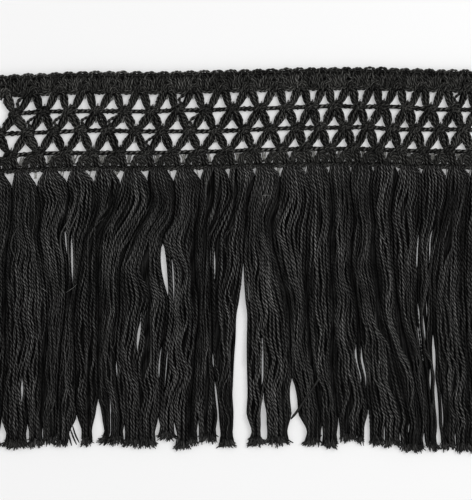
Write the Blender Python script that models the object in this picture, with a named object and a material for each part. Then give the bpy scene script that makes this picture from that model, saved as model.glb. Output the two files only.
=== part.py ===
"""Tassel fringe trim, a cut length lying face up on the surface z = 0.

A crocheted edge braid carries an open net of knotted yarn bundles, and twenty yarn tassels hang from
the net's last knots. X runs along the trim and +Y points to the braid's scalloped edge. The origin is
on the flat back of the braid, in the middle of its length and of its width. Metres, +Z up.
"""

import bmesh
import bpy

MM = 0.001
GAP = 0.3 * MM  # kept between neighbouring pieces

# Along the trim: one column for each tassel, with the net's odd rows of knots halfway between.
TASSELS = 20
LAST = TASSELS - 1
WIDE_PITCH = 10.84 * MM
CLOSE_PITCH = 9.52 * MM  # over the end of the trim that is pushed together
CLOSE_FROM = 10.6  # column where the closer pitch starts
EDGE_WAVE = (  # (along, sideways) of the braid's middle line, in mm
    (-100, -2.3),
    (-68, -0.9),
    (-40, -0.9),
    (0, 0.0),
    (42, 0.9),
    (76, 0.0),
    (100, -0.4),
)

# Across the trim: every drop is measured from the braid's scalloped edge.
BRAID_MIDDLE = 4.6 * MM
LEAN = -0.13  # how far the net slants sideways for each unit of drop
KNOT_DROPS = (8.0 * MM, 15.8 * MM, 24.1 * MM, 32.6 * MM)
POINT_DOWN_GAPS = ((9.0 * MM, 13.2 * MM), (16.7 * MM, 20.8 * MM), (24.9 * MM, 28.8 * MM))
POINT_UP_GAPS = ((11.8 * MM, 15.1 * MM), (20.1 * MM, 23.5 * MM), (28.8 * MM, 32.0 * MM))
GAP_WIDE = 0.21  # half a gap's width at its broad side, in columns
GAP_NARROW = 0.07  # and at its narrow side
GAP_SLANT = 0.03  # how far a gap's upper side is shifted forward and its lower side back

# Heights above the surface.
RIM = 1.0 * MM
BAR = 1.7 * MM
BUNDLE = 2.3 * MM
KNOT = 3.0 * MM

# Where the ridge points lie between two knots, as shares of the way.
BUNDLE_POINTS = (0.3, 0.7)
BAR_POINTS = (0.25, 0.75)
BRAID_EDGE_POINTS = (0.25, 0.5, 0.75)

# The braid: rows of stitches across it, (drop, height at the stitches, height between them).
STITCH = 0.25  # from a stitch to the dip beside it, in columns
SCALLOP = 1.0 * MM  # depth of the dips in the scalloped edge
BRAID_ROWS = (
    (0.0 * MM, 1.5 * MM, 1.2 * MM),
    (1.9 * MM, 3.4 * MM, 2.4 * MM),
    (4.0 * MM, 2.6 * MM, 3.5 * MM),
    (6.0 * MM, 3.5 * MM, 2.6 * MM),
)

# The stitched lumps below the last knots, and the notches between them that hold the tassels' heads.
VALLEY_DROP = 34.6 * MM
NOTCH_DROP = 36.2 * MM
LUMP_DROP = 36.8 * MM
LUMP_END = 38.7 * MM
NOTCH_HALF = 0.14  # in columns
LUMP_HALF = 0.20
END_BORDER = 0.25  # the half bundle beyond the net's first and last knots, in columns

# A tassel's head: (drop, half its width in columns, height), its shoulder, and the line where its
# strands start.
HEAD = ((36.6 * MM, 0.105, 2.6 * MM), (39.1 * MM, 0.26, 3.1 * MM))
SHOULDER_DROP = 41.4 * MM  # where it has its full width, between the gaps on its two sides
SHOULDER = 3.0 * MM
HEAD_TAPER = 0.15  # how far in its top edges lie, as a share of its width
ROOT_DROP = 43.2 * MM
# The gap below the net between two heads, in mm: the drop of its lowest point, and how far it spreads
# to the left and to the right of the parting at its top. The rows are the partings.
HEAD_GAP_TOP = 40.3 * MM
HEAD_GAPS = (
    (44.4, 2.4, 0.8),
    (44.7, 2.8, 0.8),
    (44.7, 2.6, 2.6),
    (43.7, 3.2, 1.4),
    (43.9, 3.2, 0.8),
    (44.3, 2.8, 1.2),
    (42.9, 2.2, 0.6),
    (43.9, 2.2, 1.2),
    (43.3, 2.4, 1.2),
    (42.7, 1.4, 0.3),
    (41.6, 0.9, 0.3),
    (42.5, 2.2, 0.9),
    (41.9, 1.6, 0.3),
    (41.6, 0.8, 0.3),
    (41.5, 0.6, 0.3),
    (41.5, 0.6, 0.3),
    (42.0, 1.0, 0.4),
    (41.9, 1.0, 0.8),
    (42.9, 1.8, 0.6),
    (42.3, 2.0, 0.3),
    (42.0, 1.6, 0.6),
)

# The skirt: how far each parting between two tassels strays sideways from its root, in mm, at these
# drops. The columns are the drops and the rows are the partings, from the trim's left end to its right.
FLOW_DROPS = (43.5, 46.5, 51, 57, 62, 67, 79, 96, 117, 140)
PARTINGS = (
    (1.6, 1.6, 1.6, 1.4, 0.8, 0.2, -0.8, -0.4, -0.4, -1.2),
    (1.8, 1.8, 1.8, 1.6, 1.2, 0.4, -0.8, -0.8, -1.2, -2.4),
    (0.6, 1.2, 2.2, 2.4, 1.8, 1.2, 3.2, 5.0, 3.6, 2.4),
    (2.0, 2.6, 3.2, 1.8, 0.2, 0.0, 1.6, 1.4, -0.8, -1.8),
    (2.1, 2.6, 3.6, 2.8, 0.8, -1.8, -3.2, -5.6, -5.4, -4.8),
    (2.0, 1.6, 0.2, -1.8, -4.2, -6.0, -7.0, -6.8, -7.4, -6.8),
    (1.6, 2.6, 3.2, 0.8, -1.8, -4.4, -8.6, -9.4, -10.6, -8.6),
    (1.4, 1.6, 2.2, 1.8, 0.0, -2.6, -2.4, -0.4, -2.6, -4.0),
    (1.2, 1.4, 0.8, 0.4, -0.6, -1.2, -1.0, 0.4, -1.0, -2.6),
    (1.9, 2.4, 2.4, -0.4, -3.0, -5.0, -5.2, -5.0, -4.4, -2.2),
    (1.5, 0.8, -0.6, -2.0, -2.4, -3.0, -3.2, -3.6, -4.4, -4.5),
    (0.8, 0.8, 0.4, -1.6, -2.6, -2.4, 0.2, 4.2, 5.0, 6.8),
    (1.4, 2.4, 3.4, 2.8, 1.8, 1.6, 1.2, 2.4, 4.0, 7.2),
    (1.0, 1.6, 2.0, 2.6, 2.4, 1.8, 1.6, 3.2, 2.6, 4.8),
    (0.2, 0.0, 0.4, 1.4, 1.6, 1.0, 0.6, 3.0, 4.2, 7.6),
    (0.0, -0.6, -0.6, -0.2, 0.4, 0.4, 1.0, 0.8, 2.8, 4.8),
    (0.4, -0.4, -1.8, -2.4, -2.2, -1.8, -1.4, -0.8, 1.6, 4.0),
    (-0.2, 0.0, 0.0, -0.2, -0.4, -1.2, -1.8, -1.6, -0.4, 1.4),
    (0.5, 0.6, 0.4, -0.8, -1.8, -3.0, -5.2, -5.0, -4.4, -2.8),
    (0.6, 0.4, -0.4, -1.0, -1.4, -1.6, -2.0, -1.6, 0.0, 2.4),
    (0.0, -0.2, -0.4, -0.8, -1.0, -1.2, -1.6, -1.2, 0.8, 2.8),
)
# Partings that stand open, and their widths in mm: rows of (drop, width) for each.
OPENINGS = {
    5: ((132, 0), (134.5, 1.4), (137.3, 2.4), (140.5, 3.2), (143.5, 4.8), (153, 6.0)),
    7: ((66, 0), (70.6, 1.1), (73, 1.8), (77.1, 2.4), (82.3, 2.1), (86.3, 1.5), (91.3, 0)),
    10: ((76, 0), (82.3, 0.9), (89, 2.2), (98.3, 4.6), (106, 4.7), (130, 6.2), (138, 5.3), (153, 7.6)),
    11: ((121, 0), (126.5, 1.9), (132, 3.0), (137, 2.8), (140.5, 3.6), (153, 7.6)),
    12: ((138, 0), (142, 0.8), (153, 1.6)),
    18: ((105, 0), (108, 0.9), (118, 1.5), (123, 0.8), (128, 1.4), (138, 1.2), (153, 0.6)),
}
WAVE_FADE = 30.0 * MM  # the skirt loses the braid's wave over this length
STRAIGHT_DROP = 130.0 * MM  # below this the tassels are drawn in to a neck, then spread to their tips
NECK_DROP = 145.0 * MM
NECK = 0.84  # share of its width that a tassel keeps at the neck
TIP_SPREAD = 0.97
TIP_DROPS = (  # of each tassel's cut end, in mm
    151.1, 151.5, 151.3, 150.3, 150.5, 150.1, 151.3, 150.7, 149.5, 151.1,
    150.3, 150.9, 151.5, 149.3, 150.3, 151.5, 153.1, 153.1, 152.3, 152.7,
)  # fmt: skip
STRAND_DROPS = (46.5, 51, 57, 62, 67, 73, 79, 88, 98, 108, 118, 129, 138)  # where a strand's solid bends, in mm
STRAND_WIDTH = 1.45 * MM  # average, with the space beside it
FEWEST_STRANDS = 5
STRAND_HEIGHTS = (2.9 * MM, 2.3 * MM)  # taken in turn
TIP_HEIGHT = 1.5 * MM
TIP_STEPS = (0.0, 0.8 * MM, 0.3 * MM)  # how much shorter each strand's tip is, taken in turn

NET_COLOUR = (0.030, 0.030, 0.033, 1.0)
YARN_COLOUR = (0.034, 0.034, 0.037, 1.0)


def smooth(table, at):
    """The value at one place of the smooth curve through a table of (place, value) rows."""
    at = min(max(at, table[0][0]), table[-1][0])
    step = next(step for step in range(1, len(table)) if at <= table[step][0])
    (start, low), (end, high) = table[step - 1 : step + 1]
    before = table[max(step - 2, 0)]
    after = table[min(step + 1, len(table) - 1)]
    leaving = (high - before[1]) / (end - before[0])
    arriving = (after[1] - low) / (after[0] - start)
    span = end - start
    share = (at - start) / span
    rest = 1 - share
    ease = share * share * (3 - 2 * share)
    return low + (high - low) * ease + span * share * rest * (leaving * rest - arriving * share)


def column_x(column):
    """Distance along the braid's middle line of a column, with the middle of the trim at 0."""

    def from_start(place):
        return min(place, CLOSE_FROM) * WIDE_PITCH + max(place - CLOSE_FROM, 0) * CLOSE_PITCH

    return from_start(column) - from_start(LAST) / 2


def wave(along):
    return smooth(EDGE_WAVE, along / MM) * MM


def place(column, drop):
    """The plan position of a point of the heading."""
    along = column_x(column)
    below = drop - BRAID_MIDDLE
    return along + LEAN * below, wave(along) - below


def material(name, colour):
    made = bpy.data.materials.new(name)
    made.use_nodes = True
    shader = made.node_tree.nodes["Principled BSDF"]
    shader.inputs["Base Color"].default_value = colour
    shader.inputs["Roughness"].default_value = 0.9
    shader.inputs["Metallic"].default_value = 0.0
    return made


def add_object(name, mesh, look):
    data = bpy.data.meshes.new(name)
    mesh.to_mesh(data)
    mesh.free()
    data.materials.append(look)
    made = bpy.data.objects.new(name, data)
    bpy.context.collection.objects.link(made)
    return made


class Plan:
    """A flat sheet of faces in plan, each point with the height that it is raised to."""

    def __init__(self):
        self.mesh = bmesh.new()
        self.height = self.mesh.verts.layers.float.new("height")
        self.points = {}

    def point(self, column, drop, height):
        key = (round(column, 4), round(drop / MM, 3))
        if key not in self.points:
            made = self.mesh.verts.new((*place(column, drop), 0.0))
            made[self.height] = height
            self.points[key] = made
        return self.points[key]

    def face(self, *corners):
        self.mesh.faces.new([self.point(*corner) for corner in corners])

    def raised(self):
        """The closed body with a flat back on z = 0 and each front point at its height."""
        front = bmesh.ops.extrude_face_region(self.mesh, geom=self.mesh.faces[:])["geom"]
        for item in front:
            if isinstance(item, bmesh.types.BMVert):
                item.co.z = item[self.height]
        bmesh.ops.recalc_face_normals(self.mesh, faces=self.mesh.faces[:])
        return self.mesh


def mixed(first, second, share, height):
    """A point partway between two knots, on the ridge of the bundle that joins them."""
    column = first[0] + (second[0] - first[0]) * share
    drop = first[1] + (second[1] - first[1]) * share
    return column, drop, height


def bundle(first, second):
    """The ridge points of the slanting bundle between two knots."""
    return [mixed(first, second, share, BUNDLE) for share in BUNDLE_POINTS]


def bar(first, second, at_braid):
    """The ridge points between two knots of one row. The braid's own edge has a stitch more."""
    points = BRAID_EDGE_POINTS if at_braid else BAR_POINTS
    return [mixed(first, second, share, BAR) for share in points]


def cell(plan, left, right, point, broad_drop, narrow_drop, at_braid=False):
    """One three-sided cell of the net, between a bar and the knot across from it, with its gap."""
    middle = point[0]
    slant = GAP_SLANT if broad_drop < narrow_drop else -GAP_SLANT
    broad_left = (middle + slant - GAP_WIDE, broad_drop, RIM)
    broad_right = (middle + slant + GAP_WIDE, broad_drop, RIM)
    narrow_left = (middle - slant - GAP_NARROW, narrow_drop, RIM)
    narrow_right = (middle - slant + GAP_NARROW, narrow_drop, RIM)
    across = bar(left, right, at_braid)
    near_right, far_right = bundle(right, point)
    near_left, far_left = bundle(left, point)
    plan.face(left, across[0], broad_left, near_left)
    plan.face(*across, broad_right, broad_left)
    plan.face(right, near_right, broad_right, across[-1])
    plan.face(near_right, far_right, narrow_right, broad_right)
    plan.face(point, far_left, narrow_left, narrow_right, far_right)
    plan.face(far_left, near_left, broad_left, narrow_left)


def knots(row):
    """The knots of one row, as (column, drop, height). Odd rows sit halfway between the columns."""
    offset = 0.5 * (row % 2)
    return [(at + offset, KNOT_DROPS[row], KNOT) for at in range(TASSELS - row % 2)]


def add_net(plan):
    """Three bands of cells, with their points down and up in turn."""
    rows = [knots(row) for row in range(len(KNOT_DROPS))]
    for band, (above, below) in enumerate(zip(rows, rows[1:])):
        top, bottom = POINT_DOWN_GAPS[band]
        for left, right in zip(above, above[1:]):
            point = below[round(left[0] + 0.5 - below[0][0])]
            cell(plan, left, right, point, top, bottom, at_braid=band == 0)
        top, bottom = POINT_UP_GAPS[band]
        for left, right in zip(below, below[1:]):
            point = above[round(left[0] + 0.5 - above[0][0])]
            cell(plan, left, right, point, bottom, top)


def add_braid(plan):
    """Rows of stitches from the scalloped edge down to the first row of knots."""
    steps = round((LAST + 2 * END_BORDER) / STITCH)
    columns = [-END_BORDER + STITCH * step for step in range(steps + 1)]

    def stitch(row, step):
        on_stitch = (step + row) % 2 == 1
        if row == len(BRAID_ROWS):
            on_knot = columns[step] % 1 == 0
            return columns[step], KNOT_DROPS[0], KNOT if on_knot else BAR
        drop, high, low = BRAID_ROWS[row]
        if row == 0 and not on_stitch:
            drop += SCALLOP
        return columns[step], drop, high if on_stitch else low

    for row in range(len(BRAID_ROWS)):
        for step in range(steps):
            corners = [(row, step), (row, step + 1), (row + 1, step + 1), (row + 1, step)]
            plan.face(*[stitch(*corner) for corner in corners])


def add_lumps(plan):
    """The dense stitched row below the last knots, notched for the tassels' heads."""
    last = knots(3)

    def notch(column, side):
        return column + side * NOTCH_HALF, NOTCH_DROP, RIM

    for left, right in zip(last, last[1:]):
        column = left[0] + 0.5
        valley = (column, VALLEY_DROP, RIM)
        first, second = bar(left, right, at_braid=False)
        plan.face(left, valley, first)
        plan.face(first, valley, second)
        plan.face(second, valley, right)
        plan.face(left, notch(column, -1), valley)
        plan.face(valley, notch(column, -1), notch(column, 1))
        plan.face(valley, notch(column, 1), right)
    for knot in last:
        column = knot[0]
        crown = (column, LUMP_DROP, KNOT)
        foot = (column, LUMP_END, BAR)
        left_foot = (column - LUMP_HALF, LUMP_END, RIM)
        right_foot = (column + LUMP_HALF, LUMP_END, RIM)
        plan.face(knot, crown, left_foot, notch(column - 0.5, 1))
        plan.face(crown, foot, left_foot)
        plan.face(crown, right_foot, foot)
        plan.face(knot, notch(column + 0.5, -1), right_foot, crown)


def add_end(plan, side):
    """The outer half of the bundles at one end of the net, and the end knot above the last tassel."""
    column = LAST if side > 0 else 0
    line = []
    for row in range(len(KNOT_DROPS)):
        knot = (column - side * 0.5 * (row % 2), KNOT_DROPS[row], KNOT)
        line += [*bundle(line[-1], knot), knot] if line else [knot]
    outer = [(at + side * END_BORDER, drop, RIM) for at, drop, height in line]
    for step in range(len(line) - 1):
        plan.face(line[step], line[step + 1], outer[step + 1], outer[step])
    crown = (column, VALLEY_DROP, KNOT)
    inner_notch = (column - side * NOTCH_HALF, NOTCH_DROP, RIM)
    outer_notch = (column + side * NOTCH_HALF, NOTCH_DROP, RIM)
    shoulder = (column + side * NOTCH_HALF, VALLEY_DROP, RIM)
    plan.face(line[-1], crown, inner_notch)
    plan.face(inner_notch, crown, outer_notch)
    plan.face(crown, shoulder, outer_notch)
    plan.face(crown, line[-1], outer[-1], shoulder)


def heading(look):
    """The braid, the net and the stitched row, crocheted in one piece."""
    plan = Plan()
    add_braid(plan)
    add_net(plan)
    add_lumps(plan)
    add_end(plan, -1)
    add_end(plan, 1)
    return add_object("heading", plan.raised(), look)


def opening(parting, drop):
    """How far a parting stands open at one drop."""
    width = smooth(OPENINGS[parting], drop / MM) * MM if parting in OPENINGS else 0.0
    return max(width, GAP)


def parting_x(parting, drop):
    """Where a parting between two tassels runs at one drop, from the gap between their heads down."""
    root, _ = place(parting - 0.5, ROOT_DROP)
    return root + smooth(list(zip(FLOW_DROPS, PARTINGS[parting])), drop / MM) * MM


def edge_x(parting, side, drop):
    """The edge of the tassel on one side of a parting: 1 for the right side and -1 for the left."""
    lowest, *spreads = HEAD_GAPS[parting]
    head = max(0.0, (lowest * MM - drop) / (lowest * MM - HEAD_GAP_TOP))
    spread = head * spreads[1 if side > 0 else 0] * MM
    return parting_x(parting, drop) + side * max(spread, opening(parting, drop) / 2)


def skirt_y(x, drop):
    """The trim's wave fades out over the first part of the skirt."""
    fade = min(1.0, max(0.0, (drop - ROOT_DROP) / WAVE_FADE))
    return wave(x) * (1 - fade) - (drop - BRAID_MIDDLE)


def drawn_in(drop, tip):
    """The share of its width that a tassel keeps near its cut end."""
    return smooth(((STRAIGHT_DROP, 1.0), (NECK_DROP, NECK), (tip, TIP_SPREAD)), drop)


def strand_sections(index):
    """For each strand of a tassel, its sections from the root to the tip, as three points each."""
    tip = TIP_DROPS[index] * MM
    drops = [ROOT_DROP, *(drop * MM for drop in STRAND_DROPS), NECK_DROP, tip]
    edges = []
    for drop in drops:
        left, right = edge_x(index, 1, drop), edge_x(index + 1, -1, drop)
        middle = (left + right) / 2
        half = (right - left) / 2 * drawn_in(drop, tip)
        edges.append((middle - half, middle + half, drop))
    average = sum(right - left for left, right, _ in edges) / len(edges)
    count = max(FEWEST_STRANDS, round(average / STRAND_WIDTH))
    strands = []
    for strand in range(count):
        sections = []
        for left, right, drop in edges:
            pitch = (right - left + GAP) / count
            start = left + pitch * strand
            end = start + pitch - GAP
            middle = (start + end) / 2
            y = skirt_y(middle, drop)
            height = STRAND_HEIGHTS[strand % 2]
            if drop == ROOT_DROP:
                height = SHOULDER
            elif drop == tip:
                height = TIP_HEIGHT
                y += TIP_STEPS[strand % 3]
            sections.append(((start, y, 0), (end, y, 0), (middle, y, height)))
        strands.append(sections)
    return strands


def head_loops(mesh, index):
    """The head's sections, each with two corners on the surface and two on top, left before right."""
    stations = []
    for drop, half, height in HEAD:
        left, y = place(index - half, drop)
        right, _ = place(index + half, drop)
        stations.append((left, right, y, height))
    left, right = edge_x(index, 1, SHOULDER_DROP), edge_x(index + 1, -1, SHOULDER_DROP)
    stations.append((left, right, skirt_y((left + right) / 2, SHOULDER_DROP), SHOULDER))
    for left, right, y, height in stations:
        inset = (right - left) * HEAD_TAPER
        corners = ((left, y, 0), (right, y, 0), (right - inset, y, height), (left + inset, y, height))
        yield [mesh.verts.new(corner) for corner in corners]


def fan(mesh, left, right, line):
    """Faces from two corners to a line of points, half of the line to each corner."""
    half = len(line) // 2
    for step in range(len(line) - 1):
        mesh.faces.new((left if step < half else right, line[step], line[step + 1]))
    mesh.faces.new((left, line[half], right))


def tassel(index, look):
    """A head wound below the net, and the strands that part from it and lie on the surface."""
    mesh = bmesh.new()
    loops = list(head_loops(mesh, index))
    mesh.faces.new(loops[0])
    for upper, lower in zip(loops, loops[1:]):
        for corner in range(4):
            after = (corner + 1) % 4
            mesh.faces.new((upper[corner], upper[after], lower[after], lower[corner]))
    left, right, top_right, top_left = loops[-1]
    strands = strand_sections(index)
    roots = [[mesh.verts.new(point) for point in sections[0]] for sections in strands]
    fan(mesh, left, right, [corner for root in roots for corner in root[:2]])
    fan(mesh, top_left, top_right, [root[2] for root in roots])
    mesh.faces.new((left, top_left, roots[0][2], roots[0][0]))
    mesh.faces.new((right, top_right, roots[-1][2], roots[-1][1]))
    for one, other in zip(roots, roots[1:]):
        mesh.faces.new((one[1], other[0], other[2], one[2]))
    for root, sections in zip(roots, strands):
        grow_strand(mesh, root, sections[1:])
    bmesh.ops.recalc_face_normals(mesh, faces=mesh.faces[:])
    return add_object(f"tassel_{index + 1:02d}", mesh, look)


def grow_strand(mesh, root, sections):
    """Extrudes a strand's root face from section to section."""
    end = mesh.faces.new(root)
    for section in sections:
        end = bmesh.ops.extrude_discrete_faces(mesh, faces=[end])["faces"][0]
        for corner, point in zip(end.verts, section):
            corner.co = point


def clear_scene():
    for existing in list(bpy.data.objects):
        bpy.data.objects.remove(existing)


clear_scene()
heading(material("net_yarn", NET_COLOUR))
yarn = material("tassel_yarn", YARN_COLOUR)
for number in range(TASSELS):
    tassel(number, yarn)
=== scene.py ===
"""Tassel fringe trim, dressed in its yarns: the crocheted braid, the knotted net and the tassels.

Every strand is spun as a twisted yarn along its own path. Lengths in the tables are millimetres, and
the trim lies face up on z = 0 with its scalloped edge towards +Y, as its solids do.
"""

import bmesh
import bpy
import numpy as np
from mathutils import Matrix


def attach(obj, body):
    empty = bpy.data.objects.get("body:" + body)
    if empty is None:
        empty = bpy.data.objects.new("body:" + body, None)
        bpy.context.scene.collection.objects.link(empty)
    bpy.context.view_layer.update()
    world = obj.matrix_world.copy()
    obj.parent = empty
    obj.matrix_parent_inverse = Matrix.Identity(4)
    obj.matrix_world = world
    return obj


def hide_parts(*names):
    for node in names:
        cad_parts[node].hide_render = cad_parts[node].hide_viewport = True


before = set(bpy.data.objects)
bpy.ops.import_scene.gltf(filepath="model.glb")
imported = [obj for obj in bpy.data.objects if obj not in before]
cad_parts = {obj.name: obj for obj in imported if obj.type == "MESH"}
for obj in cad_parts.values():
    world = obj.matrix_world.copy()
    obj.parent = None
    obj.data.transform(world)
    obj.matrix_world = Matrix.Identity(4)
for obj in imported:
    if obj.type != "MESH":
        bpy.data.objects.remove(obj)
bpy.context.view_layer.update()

MM = 0.001

# -------- the trim's layout, in mm

TASSELS = 20  # one below each column of the net's even rows
LAST = TASSELS - 1
WIDE_PITCH, CLOSE_PITCH = 10.84, 9.52  # from one column to the next, up to CLOSE_FROM and past it
CLOSE_FROM = 10.6
# The gentle wave of the whole trim: rows of (x, y).
EDGE_WAVE = ((-100, -2.3), (-68, -0.9), (-40, -0.9), (0, 0.0), (42, 0.9), (76, 0.0), (100, -0.4))
BRAID_MIDDLE = 4.6  # drops are measured down the trim, and the braid's middle line is at this one
LEAN = -0.13  # how far the columns move aside for each mm down
KNOT_DROPS = (8.0, 15.8, 24.1, 32.6)
LAST_KNOTS = len(KNOT_DROPS) - 1
LAST_ROW_DROP = 38.9  # the row that holds the tassels
ROOT_DROP = 43.2  # where the partings between the tassels start
# Between two tassels' heads there is a gap: the drop of its lowest point, and how far it spreads to the
# left and to the right at its top.
HEAD_GAP_TOP = 40.3
HEAD_GAPS = (
    (44.4, 2.4, 0.8), (44.7, 2.8, 0.8), (44.7, 2.6, 2.6), (43.7, 3.2, 1.4), (43.9, 3.2, 0.8),
    (44.3, 2.8, 1.2), (42.9, 2.2, 0.6), (43.9, 2.2, 1.2), (43.3, 2.4, 1.2), (42.7, 1.4, 0.3),
    (41.6, 0.9, 0.3), (42.5, 2.2, 0.9), (41.9, 1.6, 0.3), (41.6, 0.8, 0.3), (41.5, 0.6, 0.3),
    (41.5, 0.6, 0.3), (42, 1, 0.4), (41.9, 1, 0.8), (42.9, 1.8, 0.6), (42.3, 2, 0.3),
    (42, 1.6, 0.6),
)
# How far each parting strays from a straight fall at these drops.
FLOW_DROPS = (43.5, 46.5, 51, 57, 62, 67, 79, 96, 117, 140)
PARTINGS = (
    (1.6, 1.6, 1.6, 1.4, 0.8, 0.2, -0.8, -0.4, -0.4, -1.2),
    (1.8, 1.8, 1.8, 1.6, 1.2, 0.4, -0.8, -0.8, -1.2, -2.4),
    (0.6, 1.2, 2.2, 2.4, 1.8, 1.2, 3.2, 5, 3.6, 2.4),
    (2, 2.6, 3.2, 1.8, 0.2, 0, 1.6, 1.4, -0.8, -1.8),
    (2.1, 2.6, 3.6, 2.8, 0.8, -1.8, -3.2, -5.6, -5.4, -4.8),
    (2, 1.6, 0.2, -1.8, -4.2, -6, -7, -6.8, -7.4, -6.8),
    (1.6, 2.6, 3.2, 0.8, -1.8, -4.4, -8.6, -9.4, -10.6, -8.6),
    (1.4, 1.6, 2.2, 1.8, 0, -2.6, -2.4, -0.4, -2.6, -4),
    (1.2, 1.4, 0.8, 0.4, -0.6, -1.2, -1, 0.4, -1, -2.6),
    (1.9, 2.4, 2.4, -0.4, -3, -5, -5.2, -5, -4.4, -2.2),
    (1.5, 0.8, -0.6, -2, -2.4, -3, -3.2, -3.6, -4.4, -4.5),
    (0.8, 0.8, 0.4, -1.6, -2.6, -2.4, 0.2, 4.2, 5, 6.8),
    (1.4, 2.4, 3.4, 2.8, 1.8, 1.6, 1.2, 2.4, 4, 7.2),
    (1, 1.6, 2, 2.6, 2.4, 1.8, 1.6, 3.2, 2.6, 4.8),
    (0.2, 0, 0.4, 1.4, 1.6, 1, 0.6, 3, 5.2, 7.8),
    (0, -0.6, -0.6, -0.2, 0.4, 0.4, 1, 3.2, 8.6, 14.4),
    (0.4, -0.4, -1.8, -2.4, -2.2, -1.8, -1.4, 0.6, 5.2, 9.8),
    (-0.2, 0, 0, -0.2, -0.4, -1.2, -1.8, -1.4, 1, 3.6),
    (0.5, 0.6, 0.4, -0.8, -1.8, -3, -5.2, -5, -4.4, -2.8),
    (0.6, 0.4, -0.4, -1, -1.4, -1.6, -2, -1.6, 0, 2.4),
    (0, -0.2, -0.4, -0.8, -1, -1.2, -1.6, -1.2, 0.8, 2.8),
)
# Partings that stand open: rows of (drop, width) for each.
OPENINGS = {
    5: ((132, 0), (134.5, 1.4), (137.3, 2.4), (140.5, 3.2), (143.5, 4.8), (147, 6)),
    6: ((116, 0), (118, 0.5), (122, 0.5), (124, 0), (133, 0.2), (140, 0.4), (143, 1.4), (147, 1.4)),
    7: ((69.5, 0), (70.6, 1.1), (73, 1.8), (77.1, 2.4), (82.3, 2.1), (86.3, 1.5), (90.3, 0.5), (91.3, 0)),
    9: ((113, 0), (115, 0.5), (118.5, 0.5), (120, 0), (125, 0.2), (128, 0.8), (141, 0.8), (147, 1.4)),
    10: (
        (76, 0), (82.3, 0.9), (86.3, 1.5), (89, 2.2), (92.3, 2.8), (98.3, 4.6), (106, 4.7),
        (122, 5.8), (130, 6.2), (138, 5.3), (142, 6), (147, 7.6),
    ),
    11: ((123.5, 0), (126.5, 1.9), (132, 3), (137, 2.8), (140.5, 3.6), (147, 7.6)),
    12: ((139, 0), (142, 0.8), (147, 1.6)),
    15: ((141, 0), (144.5, 1), (148, 0.8)),
    17: ((65, 0), (68, 0.5), (78, 0.6), (80.5, 0)),
    18: ((105, 0), (108, 0.9), (118, 1.5), (123, 0.6), (128, 1.4), (138, 1.2), (145, 0.5)),
}
WAVE_FADE = 30.0  # the trim's wave fades out over this length of the skirt
# The brushes that the yarns' cut ends are drawn into: middle and half width at the tips, middle and half
# width at the neck, and the drop of the tips.
BRUSHES = (
    (-104, 4, -103.8, 3, 151.5), (-94, 5.2, -93.6, 3.6, 151.5), (-85.8, 3, -85.8, 2.2, 151.1),
    (-80.2, 2.6, -80, 2.4, 150.1), (-75.4, 2.2, -75, 2.2, 151.5), (-65.4, 2.6, -65.3, 1.7, 150.5),
    (-55.4, 5, -54.6, 3.4, 150.1), (-47.4, 3, -47.2, 2.4, 151.1), (-40.8, 3.6, -41.2, 2.8, 151.1),
    (-33.4, 3.8, -33.2, 2.4, 148.3), (-27.4, 3, -26.8, 2, 152.1), (-22.6, 1.8, -23, 1.4, 150.5),
    (-16.8, 3.6, -17, 3, 149.3), (-8.8, 3.6, -9.3, 2.1, 151.3), (2.6, 3.8, 2.8, 1.8, 150.5),
    (11.2, 4.8, 11, 3.6, 150.3), (24.8, 3.6, 25.6, 2.4, 150.7), (32, 3.2, 32, 2.4, 151.5),
    (39.6, 3.2, 39.4, 3, 149.3), (44.4, 1.2, 44.3, 1.1, 149.5), (50.8, 2.8, 50.8, 2.4, 150.3),
    (57, 3.4, 57, 2.6, 150.9), (65.4, 4.6, 64.8, 4, 153.1), (73.6, 2.4, 72.7, 2.3, 152.7),
    (79.4, 3, 79.2, 2.4, 152.3), (86, 3.6, 85.8, 3, 153.1), (96, 6, 96.2, 5, 152.7),
)
LONGEST = max(brush[-1] for brush in BRUSHES)  # the drop of the longest tips
# Slits through a tassel, down to the surface: (start drop, start x, end drop, end x, width).
SLITS = (
    (124.9, -91.2, 131.3, -91.2, 1), (104.5, -81, 113.7, -81.6, 0.8), (68.3, -73.4, 83.1, -72.8, 0.7),
    (67.1, -71.4, 84.3, -71, 0.9), (101.1, -43.8, 110.5, -45.2, 1.2), (72.3, -15.6, 80.3, -15.6, 0.5),
    (73.1, -14.2, 82.1, -14, 0.6), (80.3, -30.6, 91.3, -30.4, 0.5), (116.3, -36.2, 124.3, -36.2, 0.9),
    (108.3, -32.9, 133.1, -35.2, 1.3), (88.3, -0.6, 94.7, -0.5, 0.6), (109.3, -7.2, 120.9, -7.4, 0.4),
    (110.3, 5.2, 129.1, 5, 0.7), (132.3, 5.2, 149.3, 6, 3), (142.3, -67.8, 149.1, -68.6, 2.6),
    (134.3, -55.8, 138.3, -55.8, 0.5), (142.1, -57.6, 147.1, -56.6, 1), (142.3, -42.8, 147.7, -42.8, 0.8),
    (142.3, -20.4, 147.3, -20.4, 1.2), (144.5, -11, 148.3, -11, 0.7), (114.1, 42, 122.9, 44.6, 0.9),
    (115.3, 44.4, 123.4, 46.5, 0.9), (142.1, 47.2, 150.3, 47.4, 0.7), (142.7, 48.4, 149.3, 48.6, 1),
    (145.1, 44.4, 147.9, 44.4, 0.9), (93.3, 70.6, 101.1, 70.6, 0.8), (102.3, 67.2, 110.3, 68.2, 0.7),
    (100.3, 68.2, 107.9, 68.8, 0.6), (99.3, 69.4, 108.1, 70.2, 0.6), (98.3, 74, 103.3, 74, 0.5),
    (120.3, 72.2, 127.7, 72.2, 0.6), (123.1, 75.2, 150.3, 77.6, 1.7), (69.1, 72, 74.9, 72, 0.5),
    (145.9, 35.8, 150.3, 35.8, 0.9), (143.5, 54.2, 148.3, 54.2, 0.8), (144.3, 81.6, 149.1, 81.6, 1),
)
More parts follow.
